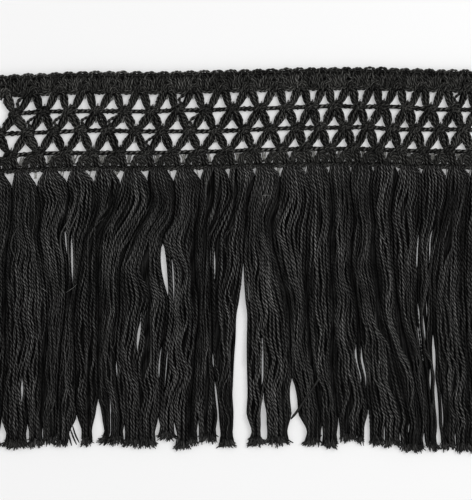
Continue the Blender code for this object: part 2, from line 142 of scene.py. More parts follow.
# Seams where only the upper yarns part: the same columns.
SEAMS = (
    (70, -98, 114, -98, 1.6), (44.8, -84.6, 59, -83.8, 1.2), (45.6, -72.4, 54, -72.6, 1.2),
    (57, -74, 67, -75.4, 1.6), (83, -71.4, 95, -72.4, 1.8), (44, -63, 60, -61.2, 0.8),
    (44.5, -55.4, 57, -55.2, 2.6), (54, -56, 70, -60.6, 1.8), (64, -61.6, 95, -61.4, 2.2),
    (88, -60.6, 116, -60.4, 1.4), (70, -64.4, 116, -64.4, 0.8), (76, -52.2, 95, -52, 0.8),
    (44, -39.6, 56, -39.8, 1.2), (56, -41.4, 70, -46.4, 0.9), (72, -40.4, 116, -40, 1.3),
    (45, -29.8, 57, -30.2, 0.7), (47, -17.2, 78, -17.6, 1.1), (44, -12.2, 60, -13.2, 0.8),
    (62, -22.4, 79, -22.4, 1.4), (76, -24.2, 92, -20.2, 1.1), (78, -13.6, 116, -13.8, 1.6),
    (44, -6.2, 60, -6, 0.8), (50, -1.4, 68, -2, 0.9), (44, 11.8, 54, 11.6, 1), (53, 9.8, 70, 8.8, 1.6),
    (82, 12.4, 100, 16, 1.8), (66, 22.4, 114, 23.4, 2.2), (50, 32.8, 94, 33, 1.5),
    (104, 32.4, 126, 32.4, 1.4), (74, 39.8, 93, 42.4, 2.2), (88, 42.6, 116, 43.4, 1.6),
    (122, 47.2, 142, 48.6, 2.4), (78, 50.6, 101, 50.6, 0.7), (43.5, 57.2, 60, 56.6, 1.7),
    (76, 57.4, 109, 60, 0.9), (45, 74.8, 66, 74.8, 0.8), (48, 80.6, 70, 80.6, 0.5),
    (112, -83.2, 143, -83.2, 1.5), (114, -64.8, 143, -64.8, 1.9), (128, -75.6, 141, -75.6, 0.9),
    (130, -89.2, 147, -89.2, 1.6), (129, -23.2, 147, -23, 1.5), (120, -17.6, 145, -17.4, 1.8),
    (128, 79, 148.5, 78.8, 1.7), (137, 38, 146, 38, 2.2),
)
# Loose plies and stray hairs that lie over the tassels: rows of (drop, x), then radius and lightness.
LOOSE = (
    (((122, 28.6), (125.6, 26.4), (131.9, 22), (136.6, 19), (139.8, 16.4)), 0.62, 0.3),
    (((51.7, 4.4), (50.7, 5), (50.5, 6.4), (50.6, 8.2)), 0.12, 3),
    (((89.5, -73.6), (88.3, -72), (87.3, -70.4), (85.7, -69)), 0.12, 2.2),
    (((87.3, -83.6), (88.1, -82.4), (89.3, -80.8)), 0.12, 3),
    (((143.6, -71.8), (147, -70.6), (150.1, -69.2)), 0.42, 0.25),
    (((144.6, -72.8), (147.6, -72), (150.5, -71.2)), 0.4, 0.25),
    (((142.6, -70.8), (146, -69.8), (149.3, -68.2)), 0.4, 0.25),
    (((51, -69.4), (56.3, -70.8), (61.3, -73.2), (65.5, -75.4), (70.3, -75.6), (78, -74.2)), 0.44, 0.8),
    (((54.7, -68), (59.3, -69.8), (64.3, -72), (68.3, -72.6), (78, -72.2)), 0.4, 0.9),
    (((62, -92.2), (66.7, -94.8), (71, -95.4), (77, -93)), 0.3, 0.45),
    (((94, -91.2), (99, -92.6), (104, -94.2), (109, -94.4)), 0.3, 0.45),
)


def rising(at, start, end):
    """From 0 at the start evenly to 1 at the end, and level on both sides of them."""
    return np.clip((at - start) / (end - start), 0, 1)


def eased(share):
    """A share from 0 to 1 that sets off and arrives gently."""
    return share * share * (3 - 2 * share)


def smooth(table, at):
    """The values at these places of the smooth curve through a table of (place, value) rows."""
    places, values = np.array(table, dtype=float).T
    at = np.clip(at, places[0], places[-1])
    step = np.clip(np.searchsorted(places, at), 1, len(places) - 1)
    before, after = np.maximum(step - 2, 0), np.minimum(step + 1, len(places) - 1)
    span, rise = places[step] - places[step - 1], values[step] - values[step - 1]
    leaving = (values[step] - values[before]) / (places[step] - places[before])
    arriving = (values[after] - values[step - 1]) / (places[after] - places[step - 1])
    share = (at - places[step - 1]) / span
    rest = 1 - share
    bend = span * share * rest * (leaving * rest - arriving * share)
    return values[step - 1] + rise * eased(share) + bend


def column_x(column):
    """Distance along the braid's middle line of a column, with the middle of the trim at 0."""

    def from_start(at):
        return np.minimum(at, CLOSE_FROM) * WIDE_PITCH + np.maximum(at - CLOSE_FROM, 0) * CLOSE_PITCH

    return from_start(np.asarray(column, dtype=float)) - from_start(np.float64(LAST)) / 2


def place(column, drop):
    """The plan position of points of the heading."""
    along = column_x(column)
    below = np.asarray(drop, dtype=float) - BRAID_MIDDLE
    return along + LEAN * below, smooth(EDGE_WAVE, along) - below


def parting_x(parting, drop):
    """Where a parting between two tassels runs, from the gap between their heads down."""
    root, _ = place(parting - 0.5, ROOT_DROP)
    return root + smooth(list(zip(FLOW_DROPS, PARTINGS[parting])), drop)


def skirt_y(x, drop):
    """Where a drop lies in the skirt, whose first part still follows the trim's wave."""
    fade = rising(drop, ROOT_DROP, ROOT_DROP + WAVE_FADE)
    return smooth(EDGE_WAVE, x) * (1 - fade) - (drop - BRAID_MIDDLE)


def tassel_edges(index, drop):
    """The left and right edges of a tassel at these drops."""
    edges = []
    for parting, side in ((index, 1), (index + 1, -1)):
        lowest, to_left, to_right = HEAD_GAPS[parting]
        head = np.clip((lowest - drop) / (lowest - HEAD_GAP_TOP), 0, 1.1)
        aside = head * (to_right if side > 0 else to_left)
        if parting in OPENINGS:
            aside = aside + smooth(OPENINGS[parting], drop) / 2
        edges.append(parting_x(parting, drop) + side * aside)
    return edges


# -------- spinning strands into meshes

# Each kind of strand: the sides of its section, one of them upwards, and the space between sections.
PLY, CORE, TUFT = "ply", "core", "tuft"
KINDS = {PLY: {"sides": 3, "step": 0.56}, CORE: {"sides": 4, "step": 2.0}, TUFT: {"sides": 3, "step": 1.6}}
YARN_RADIUS = 0.64  # of a tassel's yarns
TURN = 3.6  # length of one whole turn of the plies
PLY_RADIUS = 0.54  # of the yarn's radius
PLY_LOW = 0.2  # how much painted light a ply keeps where it runs under the other, as painted shade
PLY_SIDE = 0.2  # the share of the painted light that a ply gets where the two lie side by side
UPWARDS = -np.pi / 2  # turns a section so that it has a side upwards
SHADE = 0.04  # how much painted light a strand's sides and underside keep, as painted shade between its neighbours
MAP_SPACE = 0.3  # kept between two strands on the baking map


def placed(name, data):
    """A new object in the scene."""
    made = bpy.data.objects.new(name, data)
    bpy.context.collection.objects.link(made)
    return made


def node(tree, kind, output, inputs=(), **settings):
    """An output of a new node, whose inputs are values or the outputs of others."""
    made = tree.nodes.new(kind)
    for setting, value in settings.items():
        setattr(made, setting, value)
    for socket, value in inputs:
        if isinstance(value, bpy.types.NodeSocket):
            tree.links.new(value, made.inputs[socket])
        else:
            made.inputs[socket].default_value = value
    return made.outputs[output] if made.outputs else None


def spinner(kind):
    """Node group that spins every spline of a curve into a closed strand with capped ends."""
    group = bpy.data.node_groups.new(f"spin_{kind}", "GeometryNodeTree")
    for way in ("INPUT", "OUTPUT"):
        group.interface.new_socket("Geometry", in_out=way, socket_type="NodeSocketGeometry")
    path = node(group, "NodeGroupInput", 0)
    circle = ("Resolution", KINDS[kind]["sides"]), ("Radius", 1.0)
    section = node(group, "GeometryNodeCurvePrimitiveCircle", "Curve", circle)
    radius = node(group, "GeometryNodeInputRadius", 0)
    strand = ("Curve", path), ("Profile Curve", section), ("Scale", radius), ("Fill Caps", True)
    node(group, "NodeGroupOutput", 0, ((0, node(group, "GeometryNodeCurveToMesh", 0, strand)),))
    return group


SPINNERS = {kind: spinner(kind) for kind in KINDS}


def distances(points):
    """How far each point of a path is from its start, along it."""
    return np.concatenate([[0.0], np.cumsum(np.linalg.norm(np.diff(points, axis=0), axis=1))])


def even_steps(path, light, kind):
    """The points of a kind of strand along a path, with their distances from its start and their light."""
    path = np.column_stack([path, np.broadcast_to(light, (len(path),))])
    gone = distances(path[:, :3])
    at = np.linspace(0, gone[-1], max(3, round(gone[-1] / KINDS[kind]["step"]) + 1))
    points = np.stack([np.interp(at, gone, axis) for axis in path.T], axis=1)
    return points[:, :3], at, points[:, 3]


def directions(vectors):
    """These vectors at a length of 1."""
    return vectors / np.maximum(np.linalg.norm(vectors, axis=1), 1e-6)[:, None]


SPACING = 0.2  # between the points of a smooth path
TAPER = 2.0  # length over which a strand thins to its end


def through(points, spacing=SPACING):
    """A smooth path through a few points."""
    points = np.asarray(points, dtype=float)
    gone = distances(points)
    at = np.linspace(0, gone[-1], max(4, int(gone[-1] / spacing)))
    return np.stack([smooth(np.stack([gone, axis], axis=1), at) for axis in points.T], axis=1)


def tapered(gone, radius, ends, shape):
    """A strand's thickness along it: ends are its shares of the radius at the two ends."""
    thickness = np.full(len(gone), float(radius))
    if shape is not None:
        thickness *= shape(gone / gone[-1])
    for end, away in ((ends[0], gone), (ends[1], gone[-1] - gone)):
        thickness *= end + (1 - end) * np.clip(away / min(TAPER, gone[-1] / 2), 0, 1) ** 0.7
    return thickness


class Skein:
    """The strands of one piece."""

    def __init__(self, seed):
        self.strands = {kind: [] for kind in KINDS}
        self.random = np.random.default_rng(seed)

    def add(self, kind, path, radius, ends=(1, 1), tone=0.5, shape=None, light=1.0):
        """A strand along a path. light is its painted light: how far it stands out of the painted shade
        between the strands.
        """
        points, gone, lit = even_steps(path, light, kind)
        self.strands[kind].append((points, gone, tapered(gone, radius, ends, shape), tone, lit))

    def yarn(self, path, radius, ends=(1, 1), tone=None, shape=None, light=1.0, low=PLY_LOW, turn=TURN):
        """Two plies wound round each other along a path. low is as PLY_LOW, and a yarn without a tone
        gets one of its own."""
        middle, gone, lit = even_steps(path, light, PLY)
        thickness = tapered(gone, radius, ends, shape)
        thickness *= 1 + self.waves(gone, ((17, 0.08), (7, 0.07)))
        tone = self.random.uniform(0, 1) if tone is None else tone
        ahead = directions(np.gradient(middle, axis=0))
        side = directions(np.cross(ahead, (0.0, 0.0, 1.0)))
        lift = np.cross(side, ahead)
        angle = 2 * np.pi * gone / turn + self.waves(gone, ((29, 1.3), (11, 0.8), (5, 0.3)))
        angle += self.random.uniform(0, 2 * np.pi)
        for half in (0.0, np.pi):
            away = (1 - PLY_RADIUS) * thickness[:, None]
            up = np.sin(angle + half)
            ply = middle + away * (np.cos(angle + half)[:, None] * side + up[:, None] * lift)
            # Painted light and shade: a ply is painted lighter where it winds over the other and darker
            # where it runs under.
            top = low + (1 - low) * np.clip(PLY_SIDE + (1 - PLY_SIDE) * up, 0, 1)
            self.strands[PLY].append((ply, gone, PLY_RADIUS * thickness, tone, lit * top))

    def waves(self, at, sizes):
        """A smooth wander: for each (length, size), a wave of its own phase and strength."""
        total = np.zeros_like(at)
        for length, size in sizes:
            phase, strength = self.random.uniform(0, 2 * np.pi), self.random.uniform(0.5, 1.0)
            total += size * strength * np.sin(2 * np.pi * at / length + phase)
        return total

    def spin(self, kind):
        """The mesh of every strand of one kind."""
        curve = bpy.data.curves.new(kind, "CURVE")
        curve.dimensions, curve.twist_mode = "3D", "Z_UP"
        for points, _, thickness, _, _ in self.strands[kind]:
            spline = curve.splines.new("POLY")
            spline.points.add(len(points) - 1)
            corners = np.ones((len(points), 4))
            corners[:, :3] = points * MM
            spline.points.foreach_set("co", corners.ravel())
            spline.points.foreach_set("radius", thickness * MM)
            spline.points.foreach_set("tilt", np.full(len(points), UPWARDS))
        holder = placed(kind, curve)
        holder.modifiers.new("spin", "NODES").node_group = SPINNERS[kind]
        ready = holder.evaluated_get(bpy.context.evaluated_depsgraph_get())
        mesh = bpy.data.meshes.new_from_object(ready)
        bpy.data.objects.remove(holder)
        return mesh

    def piece(self, name, look):
        """All the strands as one object, with its maps and its attributes."""
        joined = bmesh.new()
        for kind in KINDS:
            if self.strands[kind]:
                joined.from_mesh(self.spin(kind))
        mesh = bpy.data.meshes.new(name)
        joined.to_mesh(mesh)
        joined.free()
        write_maps(mesh, self.strands)
        mesh.polygons.foreach_set("use_smooth", np.ones(len(mesh.polygons), dtype=bool))
        mesh.materials.append(look)
        return placed(name, mesh)


def write_maps(mesh, strands):
    """The strand map (around, along in mm), the baking map, and the attributes: tone, lit for the painted
    light and shade, and wound for the strands whose plies are only painted."""
    rows = [(kind, *strand) for kind in KINDS for strand in strands[kind]]
    sizes = [(2 * np.pi * r.max() + MAP_SPACE, g[-1] + 6 * r.max()) for _, _, g, r, _, _ in rows]
    spots = shelves(sizes)
    span = max(max(x + w, y + h) for x, y, w, h in spots)
    parts = []
    for (kind, _, gone, thickness, tone, lit), (x, y, _, _) in zip(rows, spots):
        sides = KINDS[kind]["sides"]
        side = np.tile(np.arange(sides), len(gone))
        station = np.repeat(np.arange(len(gone)), sides)
        girth = 2 * np.pi * thickness.max()
        at, lit = np.repeat(gone, sides), np.repeat(lit, sides)
        above = y + 3 * thickness.max()
        row = (side, station, sides, girth, at, gone[-1], x, above, tone, lit, kind == CORE)
        parts.append(np.stack(np.broadcast_arrays(*row), axis=1))
    data = np.concatenate(parts).astype(float)
    assert len(data) == len(mesh.vertices)
    places = np.empty(3 * len(mesh.vertices))
    mesh.vertices.foreach_get("co", places)
    middles = np.concatenate([np.repeat(points[:, 2], KINDS[kind]["sides"]) for kind, points, *_ in rows])
    # Painted shade: the light is painted falling off from the top of each strand down its sides.
    rise = (places[2::3] / MM - middles) / np.maximum(data[:, 3] / (2 * np.pi), 0.05)
    shaded = data[:, 9] * (SHADE + (1 - SHADE) * np.clip(rise, 0, 1))
    corner = np.empty(len(mesh.loops), dtype=np.int32)
    mesh.loops.foreach_get("vertex_index", corner)
    first = np.empty(len(mesh.polygons), dtype=np.int32)
    mesh.polygons.foreach_get("loop_start", first)
    sizes = np.diff(np.append(first, len(corner)))
    side, station, sides, girth, gone, length, x, y, tone, _, _ = data[corner].T

    def spans(values):
        """The differences of values within each face, at its corners."""
        return np.repeat(np.maximum.reduceat(values, first) - np.minimum.reduceat(values, first), sizes)

    # A cap is a face whose corners are all at one station. It gets a disc beyond its end of the strip.
    capping, wraps = spans(station) == 0, spans(side) > 1
    around = np.where(wraps & ~capping & (side == 0), sides, side) / sides
    turn = 2 * np.pi * side / sides
    cap_radius = girth / 7.5
    cap_u = girth / 2 + cap_radius * np.cos(turn)
    beyond = np.where(station == 0, -1.3 * cap_radius, length + 1.3 * cap_radius)
    cap_v = beyond + cap_radius * np.sin(turn)
    u = np.where(capping, cap_u, around * girth)
    v = np.where(capping, cap_v, gone)
    strand_map = mesh.uv_layers.new(name="strand")
    strand_map.data.foreach_set("uv", np.stack([u + 7.31 * np.floor(tone * 997), v], axis=1).ravel())
    baking_map = mesh.uv_layers.new(name="OFBake")
    baking_map.data.foreach_set("uv", (np.stack([x + u, y + v], axis=1) / span).ravel())
    for name, values in (("tone", data[:, 8]), ("lit", shaded), ("wound", data[:, 10])):
        mesh.attributes.new(name, "FLOAT", "POINT").data.foreach_set("value", values)


def shelves(sizes):
    """Places (x, y, width, height) for boxes of these sizes, set side by side on shelves."""
    order = sorted(range(len(sizes)), key=lambda at: -sizes[at][1])
    wide = max((1.08 * sum(w * h for w, h in sizes)) ** 0.5, max(w for w, _ in sizes))
    spots = [None] * len(sizes)
    x = y = shelf = 0.0
    for at in order:
        width, height = sizes[at]
        if x + width > wide and x > 0:
            x, y, shelf = 0.0, y + shelf, 0.0
        spots[at] = (x, y, width, height)
        x, shelf = x + width, max(shelf, height)
    return spots


# -------- the tassels

UPPER_SPACE = 1.0  # from one upper yarn to the next
UNDER_SPACE = 1.1
UPPER_HEIGHT, UNDER_HEIGHT = 1.95, 0.88
STRAY_HEIGHT = UPPER_HEIGHT + 0.75
CROWN = 0.45  # how much higher a tassel's middle yarns lie than its outer ones
HOOK_DROP = 38.4  # where the yarns fold behind the net's last row
DROP_STEP = 0.25  # between the points of a tassel's yarns
HEAD = (44, 52)  # the drops over which the tight yarns of a head loosen
SETTLING = (42, 52)  # and over which they start to wander
CURLING = (100, 125)  # where they start to curl more
FRAY = 0.9  # how far above the tip a yarn comes apart
NECK_ABOVE = 4.6  # from a brush's neck to its tips
GATHERING = 9.0  # length above its neck over which a brush draws its yarns together
CHOOSING_DROP = 138.0  # where a yarn lies here says which brush it joins
SLIT_REACH = 8.0  # a slit moves only the yarns within this distance
SLIT_SHARE = 0.85  # of a slit's width is left open, and the rest is kept for the yarns' fuzz
LED_OVER = 9.0  # length over which a yarn comes up to a slit
EDGE = 0.6  # from a tassel's edge to its outer yarns' middle lines
CLOSEST = 0.45  # and the closest that any yarn comes to the edge
SEAM_RADIUS = 0.4  # the yarns beside a seam come this close to its open part
NARROW_SEAMS = tuple((*seam[:4], 0.3 * seam[4]) for seam in SEAMS)
SINKING = 0.35  # how far a yarn drops into a seam
LOOSENESS = 0.55  # how unevenly the yarns lie
CROSSINGS = 3  # in each tassel, places where a yarn passes over the next
TUFTS = 11  # in each mm of a brush's cut end


def parted(x, drop, slits, radius):
    """A yarn's path led round the slits, always on the side where it lies."""
    for first, first_x, last, last_x, width in slits:
        share = (drop - first) / (last - first)
        if share.max() < 0:
            continue
        inside = np.clip(share, 0, 1)
        away = x - (first_x + (last_x - first_x) * inside)
        middle = np.argmin(np.abs(share - 0.5))
        if abs(away[middle]) > SLIT_REACH:
            continue
        side = 1.0 if away[middle] >= 0 else -1.0
        gap = SLIT_SHARE * width * np.sin(np.pi * inside) ** 0.7
        # The fourth powers push the nearest yarns aside and hardly move the others.
        led = side * (np.maximum(side * away, 0) ** 4 + (radius + gap / 2) ** 4) ** 0.25
        near = np.clip(1 - np.abs(share - inside) * (last - first) / LED_OVER, 0, 1)
        x = x + eased(near) * (led - away)
    return x


def sunk(x, drop):
    """How deep a yarn lies beside the seams, from 0 to 1."""
    deepest = np.zeros_like(x)
    for first, first_x, last, last_x, width in SEAMS:
        share = np.clip((drop - first) / (last - first), 0, 1)
        away = np.abs(x - (first_x + (last_x - first_x) * share))
        near = np.clip(1.4 - away / (0.45 * width + 0.75), 0, 1)
        deepest = np.maximum(deepest, near * np.sin(np.pi * share) ** 0.6)
    return deepest


def spread(skein, number, drop):
    """The places of a tassel's upper yarns across it, from 0 to 1, and how each lifts to cross the next."""
    loose = LOOSENESS * rising(drop, *HEAD)
    spaces = [
        np.exp(loose * skein.waves(drop, ((61, 0.8), (34, 0.6), (19, 0.35))))
        for _ in range(number - 1)
    ]
    across = np.cumsum([np.zeros_like(drop), *spaces], axis=0)
    across /= across[-1]
    lifts = np.zeros_like(across)
    for _ in range(CROSSINGS):
        one = skein.random.integers(0, number - 1)
        start, length = skein.random.uniform(50, 122), skein.random.uniform(9, 22)
        share = np.clip((drop - start) / length, 0, 1)
        passed = (across[one + 1] - across[one]) * eased(share)
        across[one] += passed
        across[one + 1] -= passed
        lifts[one] += 0.5 * np.sin(np.pi * share)
        lifts[one + 1] -= 0.3 * np.sin(np.pi * share)
    return across, lifts


def along(values):
    """A strand's shape function from values at even places along it."""
    return lambda share: np.interp(share, np.linspace(0, 1, len(values)), values)


def upper_yarns(skein, drop, left, right):
    """The layer of yarns that shows. In a tight head every other yarn lies lower than its neighbours."""
    draw = skein.random
    width = right - left
    inside = width - 2 * EDGE
    count = round(max(width[drop > ROOT_DROP + 4].mean(), 0.8 * width.max()) / UPPER_SPACE)
    across, lifts = spread(skein, count, drop)
    space = inside / (count - 1) / UPPER_SPACE
    in_head, settled = rising(drop, *reversed(HEAD)), rising(drop, *SETTLING)
    packed = np.clip(1 - space, 0, 0.5) * in_head
    curling = settled * (1 + 0.9 * rising(drop, *CURLING))
    sway = curling * skein.waves(drop, ((39, 0.75), (21, 0.4)))
    for strand in range(count):
        share, lower = across[strand], strand % 2
        x = left + EDGE + inside * share + sway * (1 - (2 * share - 1) ** 2)
        x = x + curling * skein.waves(drop, ((23, 0.2), (11, 0.13), (6, 0.06)))
        x = parted(parted(x, drop, NARROW_SEAMS, SEAM_RADIUS), drop, SLITS, YARN_RADIUS - 0.06)
        x, tip = drawn_to_brush(np.clip(x, left + CLOSEST, right - CLOSEST), drop)
        crown = CROWN * (0.5 - (2 * share - 1) ** 2)
        over = draw.uniform(-0.3, 0.3) - 0.35 * (draw.uniform() < 0.2)
        over = over + skein.waves(drop, ((47, 0.22), (21, 0.16), (9, 0.07))) + lifts[strand]
        level = ((HOOK_DROP, -1.0), (39.2, 0.3), (41, 0.5), (47, 0.2), (55, 0), (138, 0), (tip - 4, -0.45))
        z = UPPER_HEIGHT + crown + settled * over + smooth(level, drop)
        thin = smooth(((HOOK_DROP, 0.8), (41, 0.95), (47, 1.0), (tip, 1.0)), drop)
        thin *= np.clip(space + 0.06, 0.62, 1.04) * (1 + 0.7 * packed * (1 - lower))
        kept = drop < tip - FRAY - draw.uniform(0.2, 2.2)
        deep = np.maximum(sunk(x, drop), lower * (0.45 * in_head + packed))
        path = np.stack([x, skirt_y(x, drop), z - SINKING * deep], axis=1)[kept]
        # Painted light and shade: higher yarns are painted lighter, and those in the seams, the lower ones
        # of a tight head and those along the tassel's edges are painted darker, as shade falls there.
        light = np.clip(1.0 + 0.85 * (z - UPPER_HEIGHT), 0.3, 1.6) * (1 - 0.78 * deep)
        edge = np.clip(1.5 - np.minimum(x - left, right - x), 0, 1) * settled
        light *= 1 - edge * np.clip(0.45 + skein.waves(drop, ((55, 0.3), (31, 0.2))), 0, 0.85)
        light = (light * np.exp(skein.waves(drop, ((41, 0.22), (15, 0.14)))))[kept]
        radius, low = YARN_RADIUS * draw.uniform(0.9, 1.08), draw.uniform(0.02, 0.22)
        skein.yarn(path, radius, (0.8, 0.45), shape=along(thin[kept]), light=light, low=low)


def under_yarns(skein, drop, left, right):
    """The layer below them, which rests on the surface, painted dark as the shade under the upper yarns."""
    draw = skein.random
    width = right - left
    count = int(width.max() / UNDER_SPACE) + 2
    for strand in range(count):
        x = left + EDGE + (width - 2 * EDGE) * strand / (count - 1)
        x = np.clip(parted(x, drop, SLITS, 0.72), left + CLOSEST, right - CLOSEST)
        x, tip = drawn_to_brush(x, drop)
        level = ((HOOK_DROP, 0.1), (41, 0.35), (47, 0.1), (55, 0), (tip, -0.1))
        z = UNDER_HEIGHT + smooth(level, drop) + skein.waves(drop, ((25, 0.06),))
        thin = smooth(((HOOK_DROP, 0.7), (47, 0.9), (60, 0.95), (tip, 0.95)), drop)
        kept = drop < tip - FRAY - draw.uniform(0.2, 1.8)
        path = np.stack([x, skirt_y(x, drop), z], axis=1)[kept]
        # A low painted light: painted shade beneath the upper yarns.
        light, tone = draw.uniform(0.03, 0.11), draw.uniform(0, 1)
        skein.add(CORE, path, 0.74, (0.8, 0.45), tone, along(thin[kept]), light)


def strays(skein, drop, left, right):
    """The loose plies and hairs that start over this tassel."""
    for points, radius, light in LOOSE:
        at, x = np.array(points).T
        start = np.argmin(abs(drop - at[0]))
        if left[start] <= x[0] < right[start]:
            path = through(np.stack([x, skirt_y(x, at), np.full_like(x, STRAY_HEIGHT)], axis=1))
            skein.add(TUFT, path, radius, (0.5, 0.5), tone=0.5, light=light)


def tassel(index, look):
    """A tassel's two layers of yarns, hooked on the net's last row and cut to brushes at their tips."""
    skein = Skein(500 + index)
    drop = np.arange(HOOK_DROP, LONGEST - FRAY, DROP_STEP)
    left, right = tassel_edges(index, drop)
    upper_yarns(skein, drop, left, right)
    under_yarns(skein, drop, left, right)
    ends = [float(parting_x(parting, np.array([CHOOSING_DROP]))[0]) for parting in (index, index + 1)]
    for brush in BRUSHES:
        if ends[0] <= brush[2] < ends[1]:
            fan(skein, brush)
    strays(skein, drop, left, right)
    made = skein.piece(f"yarn_tassel_{index + 1:02d}", look)
    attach(made, "root")
    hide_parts(f"tassel_{index + 1:02d}")


def drawn_to_brush(x, drop):
    """Near its end a yarn is drawn to its place in a brush, with a neck above the spread tips. Gives its
    path and the drop of its tip."""
    at = np.interp(CHOOSING_DROP, drop, x)
    middle, half, neck_middle, neck_half, tip = min(BRUSHES, key=lambda row: abs(at - row[2]) - row[3])
    neck_half -= 0.3
    across = float(np.clip((at - neck_middle) / neck_half, -1, 1))
    neck = tip - NECK_ABOVE
    table = (
        (neck - GATHERING, neck_middle + across * neck_half * 1.3),
        (neck - 4, neck_middle + across * neck_half * 1.15),
        (neck, neck_middle + across * neck_half),
        (tip, middle + across * half),
    )
    pull = eased(rising(drop, neck - GATHERING, neck - 1))
    return x + pull * (smooth(table, drop) - x), tip


def fan(skein, brush):
    """The frayed tufts of a brush, from its neck to its cut end. Five neighbours are cut about alike."""
    middle, half, neck_middle, neck_half, tip = brush
    draw = skein.random
    tufts = round(2 * half * TUFTS)
    ragged = draw.normal(0, 0.5, tufts // 5 + 1)
    for number in range(tufts):
        across = 2 * (number + draw.uniform(0, 1)) / tufts - 1
        start = tip - draw.uniform(1.6, 3.6)
        end = tip + draw.normal(0, 0.4) - 0.5 * across**2 - draw.exponential(0.5) + ragged[number // 5]
        from_x = neck_middle + neck_half * 0.94 * across + draw.normal(0, 0.18)
        to_x = middle + 1.06 * half * across + draw.normal(0, 0.45)
        high, low = draw.uniform(0.6, 2.1) * (1 - 0.3 * across**2), draw.uniform(0.3, 1.6)
        rows = []
        for at in (0.0, 0.35, 0.7, 1.0):
            x = from_x + (to_x - from_x) * at**1.5 + draw.normal(0, 0.06)
            rows.append((x, skirt_y(x, start + (end - start) * at), high + (low - high) * at))
        radius, light, tone = draw.uniform(0.24, 0.38), draw.uniform(0.1, 0.9), draw.uniform(0, 1)
        skein.add(TUFT, through(rows), radius, (0.7, 0.6), tone, light=light)


# -------- the crocheted heading

NET_RADIUS = 0.72  # of the strands in the net's bundles
BUNDLE_HALVES = (1.12, 1.42, 1.37)  # in each band, from a bundle's middle strand to its outer ones
LEAVING_HALF, COMING_HALF = 0.82, 0.55  # and where it leaves a knot and comes to the next one
# Where a bundle leaves its knot and where it comes to the next one: aside, and down or up from the middle.
ARCH_EXIT, KNOT_EXIT, KNOT_ENTRY, LAST_ENTRY = (1.45, 0.6), (1.45, 1.7), (1.85, 1.5), (1.6, 1.5)
# The bundles whose outer strand stands off the others, as (row and column of the knot they hang from).
OPEN_BUNDLES = ((0, 1), (0, 7), (0, 18), (1, 1.5), (1, 2.5), (1, 3.5), (1, 4.5), (1, 7.5), (2, 6))
STAND_OFF = 1.85
BORDER = 0.8  # how far the bundles at the trim's ends bow outwards
KNOT_SHIFTS = np.random.default_rng(5).normal(0, 0.2, (len(KNOT_DROPS) + 1, 2 * TASSELS + 2, 2))
CORE_LIGHT = 0.04  # the painted light of the cores inside the bundles and bars, kept low as painted shade


def on_net(column, drop, height, aside=0.0):
    """A point of the heading."""
    x, y = place(column, drop)
    return float(x) + aside, float(y), height


def beside(column, *spots):
    """Points by a column, from rows of (columns aside, drop, height)."""
    return [on_net(column + away, drop, height) for away, drop, height in spots]


def at_knot(row, column, rise=0.0, height=2.0, aside=0.0):
    """A point by a knot, which sits a little off its even place. rise is up the trim."""
    drop = (*KNOT_DROPS, LAST_ROW_DROP)[row]
    off_x, off_y = KNOT_SHIFTS[row, round(2 * column)]
    x, y, _ = on_net(column, drop - rise, height, aside)
    return x + off_x, y + off_y, height


def by_knot(row, column, *spots):
    """Points by a knot, from rows of (rise, height, aside)."""
    return [at_knot(row, column, *spot) for spot in spots]


def between(one, other, share, height, aside=0.0):
    """A point partway from one knot to another."""
    x, y = (one[axis] + (other[axis] - one[axis]) * share for axis in (0, 1))
    return x + aside, y, height


def folded(column):
    """A column past the trim's end is folded back into it."""
    return LAST - abs(LAST - abs(column))


def net_rows():
    """The columns of each row's knots: odd rows sit halfway between the even ones."""
    return [[at + 0.5 * (row % 2) for at in range(TASSELS - row % 2)] for row in range(len(KNOT_DROPS))]


def slanting_strands(skein):
    """Three yarns a bundle over two cores, running slantwise from knot to knot down the whole net. A bundle
    is gathered where it leaves a knot and spreads like a leaf on its way to the next one."""
    draw = skein.random
    for column in range(TASSELS):
        for way in (1, -1):
            for number in (-1, -0.9, 0, 0.9, 1):
                filling = abs(number) == 0.9  # one of the two cores between the three yarns, painted dark as the shade between them
                points = [at_knot(0, column, 1.7, 1.6, 0.4 * number)]
                for row in range(len(KNOT_DROPS)):
                    at, after = folded(column + way * 0.5 * row), folded(column + way * 0.5 * (row + 1))
                    down = 1 if after > at else -1
                    border = -BORDER * down if down != way else 0.0
                    points.append(at_knot(row, at, 0, 2.1, 0.3 * number))
                    if row == LAST_KNOTS:
                        break
                    out, fall = KNOT_EXIT if row else ARCH_EXIT
                    back, rise = KNOT_ENTRY if row < 2 else LAST_ENTRY
                    leaving = at_knot(row, at, -fall, 1.7, down * out + LEAVING_HALF * number)
                    coming = at_knot(row + 1, after, rise, 1.6, -down * back + COMING_HALF * number)
                    low = 0.85 if filling else 1.15 + 0.4 * (number == 0) + draw.uniform(-0.15, 0.15)
                    aside = BUNDLE_HALVES[row] * number * draw.uniform(0.9, 1.15)
                    aside += border - (LEAVING_HALF + COMING_HALF) / 2 * number
                    if down < 0 and number < 0 and (row, at) in OPEN_BUNDLES:
                        aside += 0.5 if filling else -STAND_OFF
                    points += [leaving, between(leaving, coming, 0.5, low, aside), coming]
                x, y, _ = points[-1]
                points.append((x + way * 0.4, y - 0.9, 1.2))
                if filling:
                    skein.add(CORE, through(points), NET_RADIUS, (0.6, 0.6), light=CORE_LIGHT)
                else:
                    skein.yarn(through(points), NET_RADIUS * draw.uniform(0.92, 1.08), (0.6, 0.6))


BEAD = 2.4  # from one stitch of a bar to the next
BAR_RADIUS, BAR_CORE, BAR_TURN = 1.02, 0.8, 3.7


